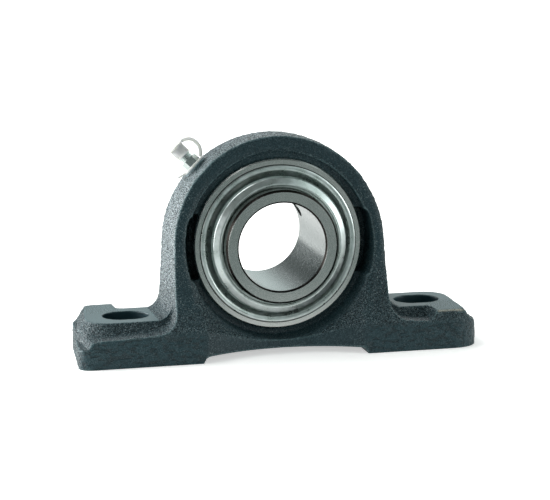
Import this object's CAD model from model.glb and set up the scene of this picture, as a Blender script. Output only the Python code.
import bpy
import bmesh
import numpy as np
from math import cos, pi, radians, sin
from mathutils import Matrix, Vector


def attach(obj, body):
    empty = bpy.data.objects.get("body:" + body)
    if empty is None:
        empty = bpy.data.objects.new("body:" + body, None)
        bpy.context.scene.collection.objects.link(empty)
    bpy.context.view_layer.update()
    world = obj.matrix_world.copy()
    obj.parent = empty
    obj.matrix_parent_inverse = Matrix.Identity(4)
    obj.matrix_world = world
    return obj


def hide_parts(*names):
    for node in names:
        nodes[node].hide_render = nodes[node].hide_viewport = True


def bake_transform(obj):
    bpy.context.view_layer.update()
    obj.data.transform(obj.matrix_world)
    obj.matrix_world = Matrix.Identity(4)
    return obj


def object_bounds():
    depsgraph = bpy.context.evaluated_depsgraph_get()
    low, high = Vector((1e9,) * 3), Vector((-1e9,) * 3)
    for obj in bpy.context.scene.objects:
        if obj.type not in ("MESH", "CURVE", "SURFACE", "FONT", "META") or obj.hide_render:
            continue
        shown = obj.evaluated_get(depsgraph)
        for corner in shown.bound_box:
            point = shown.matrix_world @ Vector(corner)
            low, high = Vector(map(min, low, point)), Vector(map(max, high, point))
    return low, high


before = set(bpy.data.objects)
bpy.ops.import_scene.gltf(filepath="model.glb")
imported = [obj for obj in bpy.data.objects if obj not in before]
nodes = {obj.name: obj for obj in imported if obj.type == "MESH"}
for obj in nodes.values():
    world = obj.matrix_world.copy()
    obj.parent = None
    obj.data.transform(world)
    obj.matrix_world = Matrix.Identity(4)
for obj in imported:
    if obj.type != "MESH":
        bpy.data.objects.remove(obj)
cad_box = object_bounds()

# ---- Housing: one grey iron sand casting, tumbled, then dipped in dark
# blue-green paint. Its sides keep the coarse print of the sand, the two long
# faces are smoother, and the pad tops and the seat are machined.
MM = 0.001
centre_height_mm = 49.2
bearing_centre = Vector((0, 0, centre_height_mm * MM))
seat_radius_mm = 40.03
seat_half_width_mm = 8.2
recess_radius_mm = 41.9
nipple_flat_radius_mm = 48.7
pad_top_mm = 18.0
ledge_mm = 13
bolt_slot_x_mm = 68.5
slot_half_length_mm, slot_half_width_mm = 11, 9
skin_voxel_mm = 0.5


def linear(hex_colour):
    """sRGB hex colour as the linear RGBA that shaders take."""
    channels = [int(hex_colour[i : i + 2], 16) / 255 for i in (0, 2, 4)]
    return [c / 12.92 if c <= 0.04045 else ((c + 0.055) / 1.055) ** 2.4 for c in channels] + [1]


def node(owner, kind, settings=(), **inputs):
    """Adds a shader node and sets or links the inputs given."""
    made = owner.node_tree.nodes.new("ShaderNode" + kind)
    for name, value in dict(settings).items():
        setattr(made, name, value)
    join(owner, made, **inputs)
    return made


def join(owner, made, **inputs):
    """Links an input to a node or a socket, or sets any other value on it.

    _0 is the node's first input, _1 its second, and so on.
    """
    for name, value in inputs.items():
        key = int(name[1:]) if name[1:].isdigit() else name.replace("_", " ")
        socket = made.inputs[key]
        if isinstance(value, bpy.types.Node):
            value = next(output for output in value.outputs if output.enabled)
        if isinstance(value, bpy.types.NodeSocket):
            owner.node_tree.links.new(value, socket)
        else:
            socket.default_value = value


def finish(name, **inputs):
    """A material and its Principled shader, with some of the shader's inputs set."""
    material = bpy.data.materials.new(name)
    material.use_nodes = True
    shader = material.node_tree.nodes["Principled BSDF"]
    join(material, shader, **inputs)
    return material, shader


def dress(piece, material):
    """Gives a piece one material all over."""
    piece.data.materials.clear()
    piece.data.materials.append(material)


def copy_of(cad_node, name):
    """A welded copy of a CAD node's mesh as a new piece."""
    piece = bpy.data.objects.new(name, nodes[cad_node].data.copy())
    bpy.context.scene.collection.objects.link(piece)
    welded = bmesh.new()
    welded.from_mesh(piece.data)
    bmesh.ops.remove_doubles(welded, verts=welded.verts, dist=1e-7)
    welded.to_mesh(piece.data)
    welded.free()
    return piece


def bake_modifiers(piece):
    """Replaces a piece's mesh by what its modifiers make of it."""
    bpy.context.view_layer.update()
    seen = piece.evaluated_get(bpy.context.evaluated_depsgraph_get())
    made = bpy.data.meshes.new_from_object(seen)
    piece.modifiers.clear()
    piece.data = made


def points_of(mesh):
    """Vertex positions and normals in millimetres, as arrays."""
    place = np.empty(3 * len(mesh.vertices), np.float32)
    facing = np.empty(3 * len(mesh.vertices), np.float32)
    mesh.vertices.foreach_get("co", place)
    mesh.vertices.foreach_get("normal", facing)
    return place.reshape(-1, 3) / MM, facing.reshape(-1, 3)


def ramp(value, start, end):
    """0 before start, 1 after end and smooth between, for arrays."""
    share = np.clip((value - start) / (end - start), 0, 1)
    return share * share * (3 - 2 * share)


def neighbour_mean(mesh, values, passes):
    """Each vertex value averaged with its neighbours', some times over."""
    ends = np.empty(2 * len(mesh.edges), np.int32)
    mesh.edges.foreach_get("vertices", ends)
    first, second = ends.reshape(-1, 2).T
    count = np.bincount(ends, minlength=len(values)).astype(np.float32)
    for _ in range(passes):
        total = np.bincount(first, values[second], len(values))
        total += np.bincount(second, values[first], len(values))
        values = total / count
    return values


def weigh(piece, name, values):
    """A vertex group from an array, in steps of a sixteenth."""
    group = piece.vertex_groups.new(name=name)
    steps = np.round(np.clip(values, 0, 1) * 16).astype(int)
    for step in range(17):
        group.add(np.flatnonzero(steps == step).tolist(), step / 16, "REPLACE")


def keep(piece, name, values):
    """An array kept on the mesh, one value per vertex, for the material to read."""
    layer = piece.data.attributes.new(name, "FLOAT", "POINT")
    layer.data.foreach_set("value", np.asarray(values, np.float32))


casting = copy_of("housing", "housing_casting")
remesh = casting.modifiers.new("even_mesh", "REMESH")
remesh.mode = "VOXEL"
remesh.voxel_size = skin_voxel_mm * MM
bake_modifiers(casting)

# The machined faces, found by where they lie
place, facing = points_of(casting.data)
x, y, z = place.T
radius = np.hypot(x, z - centre_height_mm)
sphere_reach = np.linalg.norm(place - np.array([0, 0, centre_height_mm]), axis=1)
seat = (np.abs(sphere_reach - seat_radius_mm) < 0.6) & (np.abs(y) < seat_half_width_mm)
pad_top = (np.abs(z - pad_top_mm) < 0.4) & (facing[:, 2] > 0.9)
mounting = z < 0.4
inside_slot = (
    (np.abs(np.abs(x) - bolt_slot_x_mm) < slot_half_length_mm)
    & (np.abs(y) < slot_half_width_mm) & (z < pad_top_mm + 0.5)
)
along_nipple = (z - centre_height_mm - x) * cos(radians(45))
nipple_flat = (along_nipple > nipple_flat_radius_mm - 0.3) & (radius > recess_radius_mm)

# Tumbling rounds every raw corner a little, and those of the feet more. The
# pattern's fillet melts the right bell mouth into its slot
right_mouth = (
    ramp(radius, 43, 44.5) * (1 - ramp(radius, 50, 52)) * ramp(x, 24, 30) * (y < -8)
    * (1 - ramp(np.abs(z - centre_height_mm), 24, 30))
)
foot_corners = (
    ramp(np.abs(x), 80, 85) * ramp(np.abs(y), 14, 19) * ramp(z, 4, 7) * (z < pad_top_mm - 1.5)
)
weigh(casting, "right_mouth", right_mouth)
weigh(casting, "foot_corners", foot_corners)
for rounds, where in ((60, "right_mouth"), (24, "foot_corners"), (3, "")):
    rounding = casting.modifiers.new("rounding", "SMOOTH")
    rounding.iterations = rounds
    rounding.vertex_group = where
bake_modifiers(casting)

# Corners that stand out, where the paint draws thin, and one edge where it chips
place, facing = points_of(casting.data)
x, y, z = place.T
hollow = np.stack([neighbour_mean(casting.data, axis, 1) for axis in place.T], axis=1)
bulge = np.einsum("ij,ij->i", place - hollow, facing)
bulge = neighbour_mean(casting.data, np.clip(bulge, -0.2, 0.2), 1)
corner = ramp(bulge, 0.012, 0.05) * (1 - right_mouth)
corner[pad_top] = 0.75
keep(casting, "corner", corner)
dowel_seat_edge = (x > 71) & (x < 84) & (y < -25.6) & (z > 17.2)
bare_edge = ramp(bulge, 0.006, 0.02) * dowel_seat_edge
keep(casting, "bare_edge", neighbour_mean(casting.data, bare_edge, 1))

# How coarse the skin is: 1 on the sides and the right leg, less on the long
# faces and the recess, and hardly any where it is machined
sideways, lengthways = np.abs(facing[:, 0]), np.abs(facing[:, 1])
foot_end = (np.abs(x) > 64) & (z < ledge_mm)
long_face = np.where(foot_end, ramp(lengthways, 0.25, 0.6), ramp(lengthways, 0.8, 0.93))
above_foot = ramp(z, ledge_mm - 0.5, ledge_mm + 1)
right_leg = ramp(x, 40, 42) * (1 - ramp(z, 30, 42)) * above_foot
coarse = 1 - 0.6 * long_face * (1 - right_leg)
coarse[seat | mounting | inside_slot] = 0.1
coarse[nipple_flat] = 0.55
coarse[pad_top] = 0.12
dowel_seat = pad_top & (np.abs(x) > 69) & (np.abs(y) > 6) & (x * y < 0)
coarse[dowel_seat] = 0.7
recess = (radius < recess_radius_mm + 1.5) & (radius > seat_radius_mm)
coarse[recess & ~seat] = 0.6
coarse = neighbour_mean(casting.data, coarse, 4)
keep(casting, "coarse", coarse)
weigh(casting, "relief", coarse * (1 - ramp(-facing[:, 2], 0.4, 0.8)))

# Feet show lapped sand on their long faces and the arch shows dust there. The
# arch's sides are rubbed bare on their crests, and the right leg keeps its paint
outer_face = long_face * (np.abs(y) > 12)
foot_face = outer_face * ramp(np.abs(x), 36, 39) * (1 - above_foot) * (np.abs(y) > 22)
flank = (
    (0.7 + 0.3 * ramp(sideways, 0.5, 0.95)) * ramp(z, 16, 40)
    * (1 - ramp(lengthways, 0.25, 0.6)) * (radius > recess_radius_mm + 4)
)
for name, share in (
    ("foot_face", foot_face),
    ("arch_face", outer_face * above_foot),
    ("flank", flank),
    ("leg_face", 0.7 * long_face * right_leg),
):
    keep(casting, name, neighbour_mean(casting.data, share, 3))

# The sand's print, cut into the mesh so that the outline shows it too
for name, size_mm, depth_mm, contrast, intensity in (
    ("mould_waviness", 14.0, 0.15, 1.0, 1.0),
    ("sand_print", 1.0, 0.24, 1.8, 1.0),
    ("gas_pits", 1.7, 0.16, 4.0, 1.25),
):
    texture = bpy.data.textures.new(name, "CLOUDS")
    texture.noise_scale = size_mm * MM
    texture.contrast = contrast
    texture.intensity = intensity
    relief = casting.modifiers.new(name, "DISPLACE")
    relief.texture = texture
    relief.texture_coords = "LOCAL"
    relief.mid_level = 1.0
    relief.strength = depth_mm * MM
    relief.vertex_group = "relief"
bake_modifiers(casting)

# Machined faces go back to size, and nothing stands proud of the casting
place, facing = points_of(casting.data)
place[:, 2] = np.where(pad_top, pad_top_mm, np.maximum(place[:, 2], 0))
place[mounting, 2] = 0
from_centre = place - np.array([0, 0, centre_height_mm])
reach = np.linalg.norm(from_centre, axis=1)
place[seat] += from_centre[seat] * (seat_radius_mm / reach[seat] - 1)[:, None]
place = np.clip(place, np.array(cad_box[0]) / MM, np.array(cad_box[1]) / MM)
casting.data.vertices.foreach_set("co", (place * MM).astype(np.float32).ravel())
casting.data.update()
casting.data.shade_smooth()

multiply = {"operation": "MULTIPLY"}
subtract = {"operation": "SUBTRACT"}
maximum = {"operation": "MAXIMUM"}
minimum = {"operation": "MINIMUM"}
absolute = {"operation": "ABSOLUTE"}
length = {"operation": "LENGTH"}
dot_product = {"operation": "DOT_PRODUCT"}
colours = {"data_type": "RGBA"}
smooth = {"interpolation_type": "SMOOTHSTEP"}
painted_iron, paint = finish("dip_painted_cast_iron", IOR=1.45)
here = node(painted_iron, "TexCoord").outputs["Object"]
coarse_skin, corner_share, foot_share, arch_share, flank_share, leg_share, bare_share = [
    node(painted_iron, "Attribute", {"attribute_name": name}).outputs["Fac"]
    for name in ("coarse", "corner", "foot_face", "arch_face", "flank", "leg_face", "bare_edge")
]

# Sand grains stand 0.5 to 0.7 mm apart under the paint, which lies matt in the
# hollows and burnished on the crests
grain_mm = 0.7
grit_mm = 0.5
grains = node(painted_iron, "TexVoronoi", {"feature": "SMOOTH_F1"}, Vector=here,
              Scale=1000 / grain_mm, Smoothness=0.4)
grit = node(painted_iron, "TexNoise", Vector=here, Scale=1000 / grit_mm, Detail=2, Roughness=0.6)
heaped = node(painted_iron, "Math", multiply, _0=grit, _1=0.8)
heaped = node(painted_iron, "Math", subtract, _0=heaped, _1=grains)
roughed = node(painted_iron, "MapRange", smooth, Value=coarse_skin, From_Min=0.1, From_Max=1,
               To_Min=0.06, To_Max=1.0)
heaped = node(painted_iron, "Math", multiply, _0=heaped, _1=roughed)
# Long faces slide past the sand as the pattern is drawn, which laps it sideways
lap_mm = 1.25
stretched = node(painted_iron, "VectorMath", multiply, _0=here, _1=(0.45, 1, 1))
laps = node(painted_iron, "TexNoise", Vector=stretched, Scale=1000 / lap_mm, Detail=1,
            Distortion=0.3)
pits = node(painted_iron, "MapRange", smooth, Value=laps, From_Min=0.36, From_Max=0.52,
            To_Min=1.0, To_Max=0.0)
lap_pits = node(painted_iron, "Math", multiply, _0=pits, _1=foot_share)
lap_depth = node(painted_iron, "Math", multiply, _0=lap_pits, _1=1.3)
heaped = node(painted_iron, "Math", subtract, _0=heaped, _1=lap_depth)
skin_bump = node(painted_iron, "Bump", Height=heaped, Strength=1.0, Distance=0.28 * MM)

# The paint's colour, layer on layer: thick and thin coat, laps, dark hollows,
# rubbed crests, dust, worn corners and chips down to the iron
coat_patch_mm = 14
dust_mm = 0.55
patches = node(painted_iron, "TexNoise", Vector=here, Scale=1000 / coat_patch_mm, Detail=3)
foot_sheen = node(painted_iron, "Math", multiply, _0=foot_share, _1=0.3)
lap_shade = node(painted_iron, "Math", multiply, _0=lap_pits, _1=0.5)
hollows = node(painted_iron, "MapRange", smooth, Value=grit, From_Min=0.36, From_Max=0.5,
               To_Min=1.0, To_Max=0.0)
hollows = node(painted_iron, "Math", multiply, _0=hollows, _1=roughed)
crests = node(painted_iron, "MapRange", smooth, Value=grit, From_Min=0.52, From_Max=0.66,
              To_Min=0.0, To_Max=0.5)
crests = node(painted_iron, "Math", multiply, _0=crests, _1=roughed)
off_leg = node(painted_iron, "Math", subtract, _0=1.0, _1=leg_share)
crests = node(painted_iron, "Math", multiply, _0=crests, _1=off_leg)
bare_crests = node(painted_iron, "MapRange", smooth, Value=grit, From_Min=0.45, From_Max=0.60,
                   To_Min=0.0, To_Max=0.55)
bare_crests = node(painted_iron, "Math", multiply, _0=bare_crests, _1=flank_share)
dust = node(painted_iron, "TexNoise", Vector=here, Scale=1000 / dust_mm, Detail=1)
dust = node(painted_iron, "MapRange", smooth, Value=dust, From_Min=0.62, From_Max=0.70,
            To_Min=0.0, To_Max=0.5)
dust = node(painted_iron, "Math", multiply, _0=dust, _1=arch_share)
worn = node(painted_iron, "MapRange", smooth, Value=grit, From_Min=0.35, From_Max=0.6,
            To_Min=0.25, To_Max=0.65)
worn = node(painted_iron, "Math", multiply, _0=worn, _1=corner_share)
chipped = node(painted_iron, "MapRange", smooth, Value=grit, From_Min=0.3, From_Max=0.42)
chipped = node(painted_iron, "Math", multiply, _0=chipped, _1=bare_share)
coat = linear("0A272E")
for share, colour in (
    (patches, "12353D"),
    (foot_sheen, "1C454D"),
    (lap_shade, "04171B"),
    (hollows, "04090B"),
    (crests, "90A2A5"),
    (bare_crests, "C3CFD2"),
    (dust, "93A3A4"),
    (worn, "6F8A8E"),
    (chipped, "E2DECE"),
):
    coat = node(painted_iron, "Mix", colours, _0=share, _6=coat, _7=linear(colour))

matt_hollows = node(painted_iron, "MapRange", smooth, Value=grit, From_Min=0.36, From_Max=0.56,
                    To_Min=0.95, To_Max=0.34)
even_gloss = node(painted_iron, "MapRange", smooth, Value=grit, From_Min=0.3, From_Max=0.7,
                  To_Min=0.36, To_Max=0.52)
gloss = node(painted_iron, "Mix", {"data_type": "FLOAT"}, _0=coarse_skin, _2=even_gloss,
             _3=matt_hollows)
join(painted_iron, paint, Base_Color=coat, Roughness=gloss, Normal=skin_bump)
dress(casting, painted_iron)
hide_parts("housing")
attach(casting, "housing")

# ---- Outer and inner ring: through-hardened chrome steel, ground on every
# face. The wheel leaves faint rings round the shaft, an oil film shades the
# grey in soft patches, and the inner ring's chamfers keep their dark scale.
inner_ring_ends_mm = (-19.0, 30.2)
inner_face_radii_mm = (20.8, 24.9)
chamfer_mm = 1.1
# The wheel's lines are too fine to show and are drawn this coarse
grinding_mm = 0.3
oil_patch_mm = 9
oil_line_radii_mm = (30, 36.3)
oil_line_level_mm = 10.3


def shaft_coordinates(material):
    """Radius, length and turn round the shaft axis, so that a pattern runs round it."""
    here = node(material, "TexCoord").outputs["Object"]
    centred = node(material, "VectorMath", subtract, _0=here, _1=tuple(bearing_centre))
    axes = node(material, "SeparateXYZ", Vector=centred)
    across, along, up = axes.outputs["X"], axes.outputs["Y"], axes.outputs["Z"]
    flat = node(material, "CombineXYZ", X=across, Z=up)
    out = node(material, "VectorMath", length, _0=flat)
    turn = node(material, "Math", {"operation": "ARCTAN2"}, _0=across, _1=up)
    either_way = node(material, "Math", absolute, _0=turn)
    slow = node(material, "Math", multiply, _0=either_way, _1=0.004)
    return node(material, "CombineXYZ", X=out, Y=along, Z=slow)


ground_steel, steel = finish("ground_chrome_steel", Metallic=1.0)
round_shaft = shaft_coordinates(ground_steel)
grinding = node(ground_steel, "TexNoise", Vector=round_shaft, Scale=1000 / grinding_mm, Detail=2)
steel_at = node(ground_steel, "TexCoord").outputs["Object"]
film = node(ground_steel, "TexNoise", Vector=steel_at, Scale=1000 / oil_patch_mm, Detail=2)
film_tone = node(ground_steel, "Mix", colours, _0=film, _6=linear("B2B6B3"), _7=linear("C4C7C5"))
split = node(ground_steel, "SeparateXYZ", Vector=round_shaft)
out, along = split.outputs["X"], split.outputs["Y"]

# The bore is honed, finer and darker than the wheel leaves the rest
bore_edge_mm = (20.3, 20.7)
fineness = node(ground_steel, "MapRange", Value=out, From_Min=bore_edge_mm[0] * MM,
                From_Max=bore_edge_mm[1] * MM, To_Min=0.1, To_Max=0.4)
grinding_bump = node(ground_steel, "Bump", Height=grinding, Strength=fineness,
                     Distance=0.008 * MM)
honed = node(ground_steel, "MapRange", Value=out, From_Min=bore_edge_mm[0] * MM,
             From_Max=bore_edge_mm[1] * MM, To_Min=1.0, To_Max=0.0)

# The chamfers lie at the inner ring's ends, inside and outside its flat faces
middle_mm = (inner_ring_ends_mm[0] + inner_ring_ends_mm[1]) / 2
half_length_mm = (inner_ring_ends_mm[1] - inner_ring_ends_mm[0]) / 2
from_middle = node(ground_steel, "Math", subtract, _0=along, _1=middle_mm * MM)
from_middle = node(ground_steel, "Math", absolute, _0=from_middle)
near_end = node(ground_steel, "MapRange", Value=from_middle,
                From_Min=(half_length_mm - chamfer_mm) * MM,
                From_Max=(half_length_mm - chamfer_mm + 0.12) * MM)
outside_face = node(ground_steel, "MapRange", Value=out, From_Min=inner_face_radii_mm[1] * MM,
                    From_Max=(inner_face_radii_mm[1] + 0.1) * MM)
inside_face = node(ground_steel, "MapRange", Value=out,
                   From_Min=(inner_face_radii_mm[0] - 0.1) * MM,
                   From_Max=inner_face_radii_mm[0] * MM, To_Min=1.0, To_Max=0.0)
chamfers = node(ground_steel, "Math", maximum, _0=outside_face, _1=inside_face)
chamfers = node(ground_steel, "Math", multiply, _0=chamfers, _1=near_end)

# A thread of oil lies in the corner between the outer ring and its seal case
either_side = node(ground_steel, "Math", absolute, _0=along)
on_face = node(ground_steel, "MapRange", Value=either_side, From_Min=oil_line_level_mm * MM,
               From_Max=(oil_line_level_mm + 0.1) * MM)
in_corner = node(ground_steel, "MapRange", Value=out,
                 From_Min=(oil_line_radii_mm[1] - 0.15) * MM,
                 From_Max=oil_line_radii_mm[1] * MM, To_Min=1.0, To_Max=0.0)
past_inner_ring = node(ground_steel, "Math", {"operation": "GREATER_THAN"}, _0=out,
                       _1=oil_line_radii_mm[0] * MM)
in_corner = node(ground_steel, "Math", multiply, _0=in_corner, _1=past_inner_ring)
oil_line = node(ground_steel, "Math", multiply, _0=on_face, _1=in_corner)
for share, colour in ((honed, "8E9494"), (chamfers, "292725"), (oil_line, "1B1C1A")):
    film_tone = node(ground_steel, "Mix", colours, _0=share, _6=film_tone, _7=linear(colour))

steel_gloss = node(ground_steel, "MapRange", Value=grinding, From_Min=0.3, From_Max=0.7,
                   To_Min=0.18, To_Max=0.30)
join(ground_steel, steel, Base_Color=film_tone, Roughness=steel_gloss, Normal=grinding_bump)
for name in ("outer_ring", "inner_ring"):
    dress(nodes[name], ground_steel)

# ---- Balls: chrome steel, hardened, ground and lapped to a mirror. They lie
# loose in the cage's pockets. Grease dulls the mirror in small patches.
grease_mm = 2.5
lapped_steel, lapped = finish("lapped_chrome_steel", Base_Color=linear("C9CBCC"), Metallic=1.0)
ball_at = node(lapped_steel, "TexCoord").outputs["Object"]
grease_film = node(lapped_steel, "TexNoise", Vector=ball_at, Scale=1000 / grease_mm, Detail=2)
lapped_gloss = node(lapped_steel, "MapRange", Value=grease_film, From_Min=0.45, From_Max=0.65,
                    To_Min=0.05, To_Max=0.16)
join(lapped_steel, lapped, Roughness=lapped_gloss)
for name in nodes:
    if name.startswith("ball_") or name == "nipple_ball":
        dress(nodes[name], lapped_steel)

# ---- Cage: two ribbons pressed from cold-rolled strip and riveted together
# round the balls. Rolling gives the strip an even satin grey with a fine grain.
# The grain is too fine to show and is drawn this coarse
strip_grain_mm = 0.4
cage_strip, strip = finish("cold_rolled_strip", Base_Color=linear("9A9C9B"), Metallic=1.0,
                           Roughness=0.34)
strip_grain = node(cage_strip, "TexNoise", Vector=shaft_coordinates(cage_strip),
                   Scale=1000 / strip_grain_mm, Detail=2)
strip_bump = node(cage_strip, "Bump", Height=strip_grain, Strength=0.4, Distance=0.015 * MM)
join(cage_strip, strip, Normal=strip_bump)
for name in ("cage_front", "cage_rear", "cage_rivets"):
    dress(nodes[name], cage_strip)

# ---- Seal cases and flingers: deep-drawn steel rings with bright zinc plate.
# The cases are pressed into the outer ring and the flingers onto the inner one.
# The passivate gives the zinc a faint sea-green cast that drifts in patches.
case_seat_y, ring_face_y, case_crest_y, case_web_y = 7.65, 10.5, 11.45, 9.1
case_rim_r, case_bead_r, case_slope_r, case_web_r, case_inner_r = 35.4, 35.9, 32.9, 31.3, 28.4
case_sheet = 0.7
half_sheet = case_sheet / 2
drift_mm = 5
# Drawing marks are too fine to show and are drawn this coarse
drawing_mm = 0.35
zinc_plate, zinc = finish("passivated_zinc_plate", Metallic=1.0)
zinc_at = node(zinc_plate, "TexCoord").outputs["Object"]
drift = node(zinc_plate, "TexNoise", Vector=zinc_at, Scale=1000 / drift_mm, Detail=4,
             Roughness=0.6)
zinc_tone = node(zinc_plate, "ValToRGB", Fac=drift)
for stop, position, colour in ((0, 0.35, "C2CCC8"), (1, 0.65, "DBE3E2")):
    zinc_tone.color_ramp.elements[stop].position = position
    zinc_tone.color_ramp.elements[stop].color = linear(colour)
drawing = node(zinc_plate, "TexNoise", Vector=shaft_coordinates(zinc_plate),
               Scale=1000 / drawing_mm, Detail=2)
drawing_bump = node(zinc_plate, "Bump", Height=drawing, Strength=0.3, Distance=0.006 * MM)
zinc_gloss = node(zinc_plate, "MapRange", Value=drift, From_Min=0.3, From_Max=0.7,
                  To_Min=0.24, To_Max=0.38)
join(zinc_plate, zinc, Base_Color=zinc_tone, Roughness=zinc_gloss, Normal=drawing_bump)
for name in ("flinger_front", "flinger_rear"):
    dress(nodes[name], zinc_plate)


def turned(name, outline_mm, steps=192):
    """A ring lathed round the shaft from a closed outline of (y, radius) points."""
    shape = bmesh.new()
    rings = []
    for step in range(steps):
        turn = 2 * pi * step / steps
        rings.append([
            shape.verts.new((r * MM * cos(turn), y * MM, bearing_centre.z + r * MM * sin(turn)))
            for y, r in outline_mm
        ])
    for this, following in zip(rings, rings[1:] + rings[:1]):
        for i in range(len(outline_mm)):
            shape.faces.new((this[i - 1], this[i], following[i], following[i - 1]))
    bmesh.ops.recalc_face_normals(shape, faces=shape.faces)
    mesh = bpy.data.meshes.new(name)
    shape.to_mesh(mesh)
    shape.free()
    mesh.shade_smooth()
    mesh.set_sharp_from_angle(angle=radians(40))
    ring = bpy.data.objects.new(name, mesh)
    bpy.context.scene.collection.objects.link(ring)
    return ring


# Out over the ring's face, round the bead, down the slope and along the web,
# then back under the sheet
case_outline = [
    (case_seat_y, case_rim_r),
    (ring_face_y + 0.03, case_rim_r),
    (ring_face_y + 0.05, case_bead_r - 0.2),
    (ring_face_y + 0.25, case_bead_r),
    (case_crest_y - 0.3, case_bead_r - 0.05),
    (case_crest_y - 0.08, case_bead_r - 0.35),
    (case_crest_y, case_bead_r - 0.85),
    (case_crest_y - 0.06, case_bead_r - 1.45),
    (case_crest_y - 0.25, case_bead_r - 2.05),
    (case_crest_y - 0.6, case_bead_r - 2.55),
    (case_crest_y - 1.15, case_slope_r),
    (case_web_y + 0.65, case_web_r + 0.4),
    (case_web_y + half_sheet, case_web_r - 0.1),
    (case_web_y + half_sheet, case_inner_r),
    (case_web_y - half_sheet, case_inner_r),
    (case_web_y - half_sheet, case_web_r + 0.1),
    (case_crest_y - 1.8, case_slope_r - 0.3),
    (case_crest_y - 0.95, case_rim_r - 1.6),
    (case_crest_y - 0.8, case_rim_r - case_sheet),
    (case_seat_y, case_rim_r - case_sheet),
]
for side, end in ((-1, "front"), (1, "rear")):
    case = turned(f"seal_case_{end}_drawn", [(side * y, r) for y, r in case_outline])
    dress(case, zinc_plate)
    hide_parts(f"seal_case_{end}")
    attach(case, "outer_ring")

# ---- Seal lips: nitrile rubber, moulded in a spark-eroded tool and bonded to
# the cases. The tool leaves a matt black grain, and bloom greys it in patches.
# The spark grain is too fine to show and is drawn this coarse
spark_grain_mm = 0.3
bloom_mm = 4
nitrile, rubber = finish("moulded_nitrile")
rubber_at = node(nitrile, "TexCoord").outputs["Object"]
spark_grain = node(nitrile, "TexNoise", Vector=rubber_at, Scale=1000 / spark_grain_mm, Detail=2)
spark_bump = node(nitrile, "Bump", Height=spark_grain, Strength=0.5, Distance=0.02 * MM)
bloom = node(nitrile, "TexNoise", Vector=rubber_at, Scale=1000 / bloom_mm, Detail=3)
rubber_tone = node(nitrile, "Mix", colours, _0=bloom, _6=linear("17181A"), _7=linear("212224"))
rubber_gloss = node(nitrile, "MapRange", Value=bloom, From_Min=0.3, From_Max=0.7,
                    To_Min=0.48, To_Max=0.62)
join(nitrile, rubber, Base_Color=rubber_tone, Roughness=rubber_gloss, Normal=spark_bump)
for name in ("seal_lip_front", "seal_lip_rear"):
    dress(nodes[name], nitrile)

# ---- Set screws: cold-forged alloy steel, threaded into the inner ring. Their
# oiled black oxide skin is satin, browner and duller where the oil has gone.
oiled_mm = 1.5
black_oxide, oxide = finish("oiled_black_oxide", Metallic=0.7)
screw_at = node(black_oxide, "TexCoord").outputs["Object"]
oiled = node(black_oxide, "TexNoise", Vector=screw_at, Scale=1000 / oiled_mm, Detail=3)
oxide_tone = node(black_oxide, "Mix", colours, _0=oiled, _6=linear("232326"),
                  _7=linear("343331"))
oxide_gloss = node(black_oxide, "MapRange", Value=oiled, From_Min=0.3, From_Max=0.7,
                   To_Min=0.3, To_Max=0.5)
oxide_bump = node(black_oxide, "Bump", Height=oiled, Strength=0.3, Distance=0.01 * MM)
join(black_oxide, oxide, Base_Color=oxide_tone, Roughness=oxide_gloss, Normal=oxide_bump)
for name in ("set_screw_a", "set_screw_b"):
    dress(nodes[name], black_oxide)

# ---- Grease nipple: turned from free-cutting steel with a milled hexagon, zinc
# plated and screwed into the housing. The tool leaves fine rings across its
# axis. Inside, a wound spring holds the check ball up.
nipple_axis = Vector((-0.684583762, 0.250380004, 0.684583762))
turning_mm = 0.2
plate_patch_mm = 2
turned_zinc, plating = finish("zinc_on_turned_steel", Metallic=1.0)
nipple_at = node(turned_zinc, "TexCoord").outputs["Object"]
up_nipple = node(turned_zinc, "VectorMath", dot_product, _0=nipple_at, _1=tuple(nipple_axis))
turning = node(turned_zinc, "TexNoise", {"noise_dimensions": "1D"},
               W=up_nipple.outputs["Value"], Scale=1000 / turning_mm, Detail=2)
turning_bump = node(turned_zinc, "Bump", Height=turning, Strength=0.3, Distance=0.006 * MM)
plate_drift = node(turned_zinc, "TexNoise", Vector=nipple_at, Scale=1000 / plate_patch_mm,
                   Detail=2)
plate_tone = node(turned_zinc, "Mix", colours, _0=plate_drift, _6=linear("B6C0BD"),
                  _7=linear("C8D0CF"))
plate_gloss = node(turned_zinc, "MapRange", Value=plate_drift, From_Min=0.3, From_Max=0.7,
                   To_Min=0.17, To_Max=0.28)
join(turned_zinc, plating, Base_Color=plate_tone, Roughness=plate_gloss, Normal=turning_bump)
dress(nodes["grease_nipple"], turned_zinc)

# The spring is drawn again so that it shortens as the check ball is pushed in
spring = copy_of("nipple_spring", "nipple_spring_wound")
spring.data.shade_smooth()
dress(spring, turned_zinc)
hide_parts("nipple_spring")
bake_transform(spring)

# ---- Dust cap, strap and eye: one moulding of natural nylon, pushed over the
# nipple's head. It is milky, a little see-through and faintly clouded.
cloud_mm = 3
nylon, milky = finish("natural_nylon", Subsurface_Weight=0.9, Subsurface_Radius=(1, 1, 0.94),
                      Subsurface_Scale=1.2 * MM, Transmission_Weight=0.15, IOR=1.53)
nylon_at = node(nylon, "TexCoord").outputs["Object"]
clouds = node(nylon, "TexNoise", Vector=nylon_at, Scale=1000 / cloud_mm, Detail=3)
nylon_tone = node(nylon, "Mix", colours, _0=clouds, _6=linear("F9F7EC"), _7=linear("FFFEFA"))
nylon_gloss = node(nylon, "MapRange", Value=clouds, From_Min=0.3, From_Max=0.7,
                   To_Min=0.26, To_Max=0.38)
nylon_bump = node(nylon, "Bump", Height=clouds, Strength=0.2, Distance=0.02 * MM)
join(nylon, milky, Base_Color=nylon_tone, Roughness=nylon_gloss, Normal=nylon_bump)
for name in ("dust_cap", "tether_ring"):
    dress(nodes[name], nylon)

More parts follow.
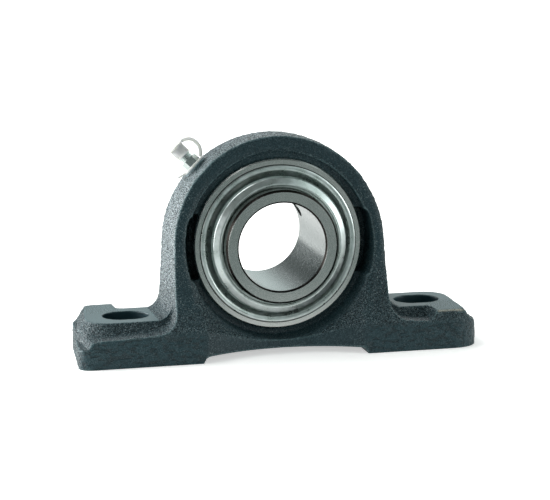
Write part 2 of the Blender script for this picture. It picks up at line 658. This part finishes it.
# The strap is drawn again, closer and a little fuller, so that it bends as the
# cap comes off
strap = copy_of("cap_strap", "cap_strap_moulded")
bands = strap.modifiers.new("bands", "SUBSURF")
bands.subdivision_type = "SIMPLE"
bands.levels = 2
bake_modifiers(strap)
strap.data.shade_smooth()
strap.data.set_sharp_from_angle(angle=radians(40))
moulded_round = strap.modifiers.new("moulded_round", "DISPLACE")
moulded_round.mid_level = 0
moulded_round.strength = 0.4 * MM
bake_modifiers(strap)
dress(strap, nylon)
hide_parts("cap_strap")
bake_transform(strap)

# ---- Paper: a sheet of white paper lies under the block. It greys in front of
# it, so that metal facing the viewer reflects white low down and grey above.
paper_mesh = bpy.data.meshes.new("paper")
paper_mesh.from_pydata([(-3, -1.2, 0), (3, -1.2, 0), (3, 4, 0), (-3, 4, 0)], [], [(0, 1, 2, 3)])
floor = bpy.data.objects.new("paper", paper_mesh)
bpy.context.scene.collection.objects.link(floor)
floor.location.z = -0.05 * MM
paper, sheet = finish("white_paper", Roughness=0.9, Specular_IOR_Level=0.1)
spot = node(paper, "TexCoord").outputs["Object"]
split_spot = node(paper, "SeparateXYZ", Vector=spot)
sideways_spot, depth = split_spot.outputs["X"], split_spot.outputs["Y"]
in_front = node(paper, "MapRange", smooth, Value=depth, From_Min=-0.02, From_Max=-0.18)
aside = node(paper, "Math", subtract, _0=sideways_spot, _1=-0.06)
aside = node(paper, "Math", absolute, _0=aside)
ahead = node(paper, "MapRange", smooth, Value=aside, From_Min=0.14, From_Max=0.30,
             To_Min=1.0, To_Max=0.25)
faded = node(paper, "Math", multiply, _0=in_front, _1=ahead)
paper_tone = node(paper, "Mix", colours, _0=faded, _6=linear("F2F2F0"), _7=linear("8B9695"))

# The camera sees plain white, less near the block so that its shadow stays, and
# polished metal sees the strip beside the block the brighter
away = node(paper, "VectorMath", length, _0=spot)
lift = node(paper, "MapRange", Value=away.outputs["Value"], From_Min=0.09, From_Max=0.2,
            To_Min=0.5, To_Max=1.0)
paper_rays = node(paper, "LightPath")
seen_lift = node(paper, "Math", multiply, _0=paper_rays.outputs["Is Camera Ray"], _1=lift)
mirror_rays = node(paper, "Math", maximum, _0=paper_rays.outputs["Is Glossy Ray"],
                   _1=paper_rays.outputs["Is Transmission Ray"])
near_lift = node(paper, "MapRange", smooth, Value=depth, From_Min=-0.14, From_Max=0.0,
                 To_Min=0.0, To_Max=0.42)
far_lift = node(paper, "MapRange", smooth, Value=depth, From_Min=0.08, From_Max=0.25,
                To_Min=0.42, To_Max=0.0)
strip_lift = node(paper, "Math", minimum, _0=near_lift, _1=far_lift)
mirror_lift = node(paper, "Math", multiply, _0=mirror_rays, _1=strip_lift)
paper_lift = node(paper, "Math", maximum, _0=seen_lift, _1=mirror_lift)
join(paper, sheet, Base_Color=paper_tone, Emission_Color=(1, 1, 1, 1),
     Emission_Strength=paper_lift)
dress(floor, paper)

# ---- Lamps: large soft boxes, the strongest from the left and behind, so that
# they rake over the sand print and keep the long face calm.
target = Vector((0.00103, 0, 0.04444))
for name, place, size, power in (
    ("left_rear_panel", (-1.0, 0.62, 0.3), (1.1, 0.55), 15),
    ("left_panel", (-1.15, -0.12, 0.3), (1.1, 0.55), 7),
    ("top_left_panel", (-0.5, 0.2, 1.0), (0.7, 0.6), 6),
    ("rear_panel", (0.3, 1.0, 0.9), (1.2, 0.5), 5),
    ("right_fill", (0.95, -0.6, 0.2), (0.7, 0.4), 2.5),
):
    panel = bpy.data.lights.new(name, "AREA")
    panel.shape = "RECTANGLE"
    panel.size, panel.size_y = size
    panel.energy = power
    lamp = bpy.data.objects.new(name, panel)
    bpy.context.scene.collection.objects.link(lamp)
    lamp.location = place
    lamp.rotation_euler = (target - Vector(place)).to_track_quat("-Z", "Y").to_euler()

# ---- Surroundings: white to the eye, a dim even room to matt surfaces, and to
# polished metal a bright room with a darker ceiling and a darker wall in front.
world = bpy.data.worlds.new("studio")
bpy.context.scene.world = world
world.use_nodes = True
surround = world.node_tree.nodes["Background"]
rays = node(world, "LightPath")
polished = rays.outputs["Is Glossy Ray"]
seen = node(world, "Math", maximum, _0=rays.outputs["Is Camera Ray"],
            _1=rays.outputs["Is Transmission Ray"])
direction = node(world, "TexCoord").outputs["Generated"]
toward_viewer = node(world, "VectorMath", dot_product, _0=direction, _1=(0, -1, 0))
up_and_left = node(world, "VectorMath", dot_product, _0=direction, _1=(-0.707, 0, 0.707))
dim_front = node(world, "MapRange", smooth, Value=toward_viewer.outputs["Value"],
                 From_Min=0.5, From_Max=0.95, To_Min=1.0, To_Max=0.38)
dim_ceiling = node(world, "MapRange", smooth, Value=up_and_left.outputs["Value"],
                   From_Min=-0.02, From_Max=0.3, To_Min=1.0, To_Max=0.16)
mirrored = node(world, "Math", minimum, _0=dim_front, _1=dim_ceiling)
mirrored = node(world, "Math", multiply, _0=polished, _1=mirrored)
matt = node(world, "Math", subtract, _0=1.0, _1=polished)
matt_level = node(world, "Math", multiply, _0=matt, _1=0.3)
ambient = node(world, "Math", {"operation": "ADD"}, _0=mirrored, _1=matt_level)
level = node(world, "Math", maximum, _0=seen, _1=ambient)
tint = node(world, "Mix", colours, _0=seen, _6=linear("EEFCFA"), _7=(1, 1, 1, 1))
join(world, surround, Color=tint, Strength=level)

# ---- Camera: a long lens nearly a metre away, to the left of the block and a
# little above it, tipped by a quarter of a degree.
camera_data = bpy.data.cameras.new("camera")
camera = bpy.data.objects.new("camera", camera_data)
bpy.context.scene.collection.objects.link(camera)
camera.location = (-0.22363, -0.91828, 0.22624)
look = (target - camera.location).to_track_quat("-Z", "Y").to_matrix()
camera.rotation_euler = (look @ Matrix.Rotation(radians(-0.252), 3, "Z")).to_euler()
camera_data.sensor_width = 36
camera_data.lens = 138.2
camera_data.clip_start = 0.01
bpy.context.scene.camera = camera
bpy.context.scene.view_settings.view_transform = "Standard"
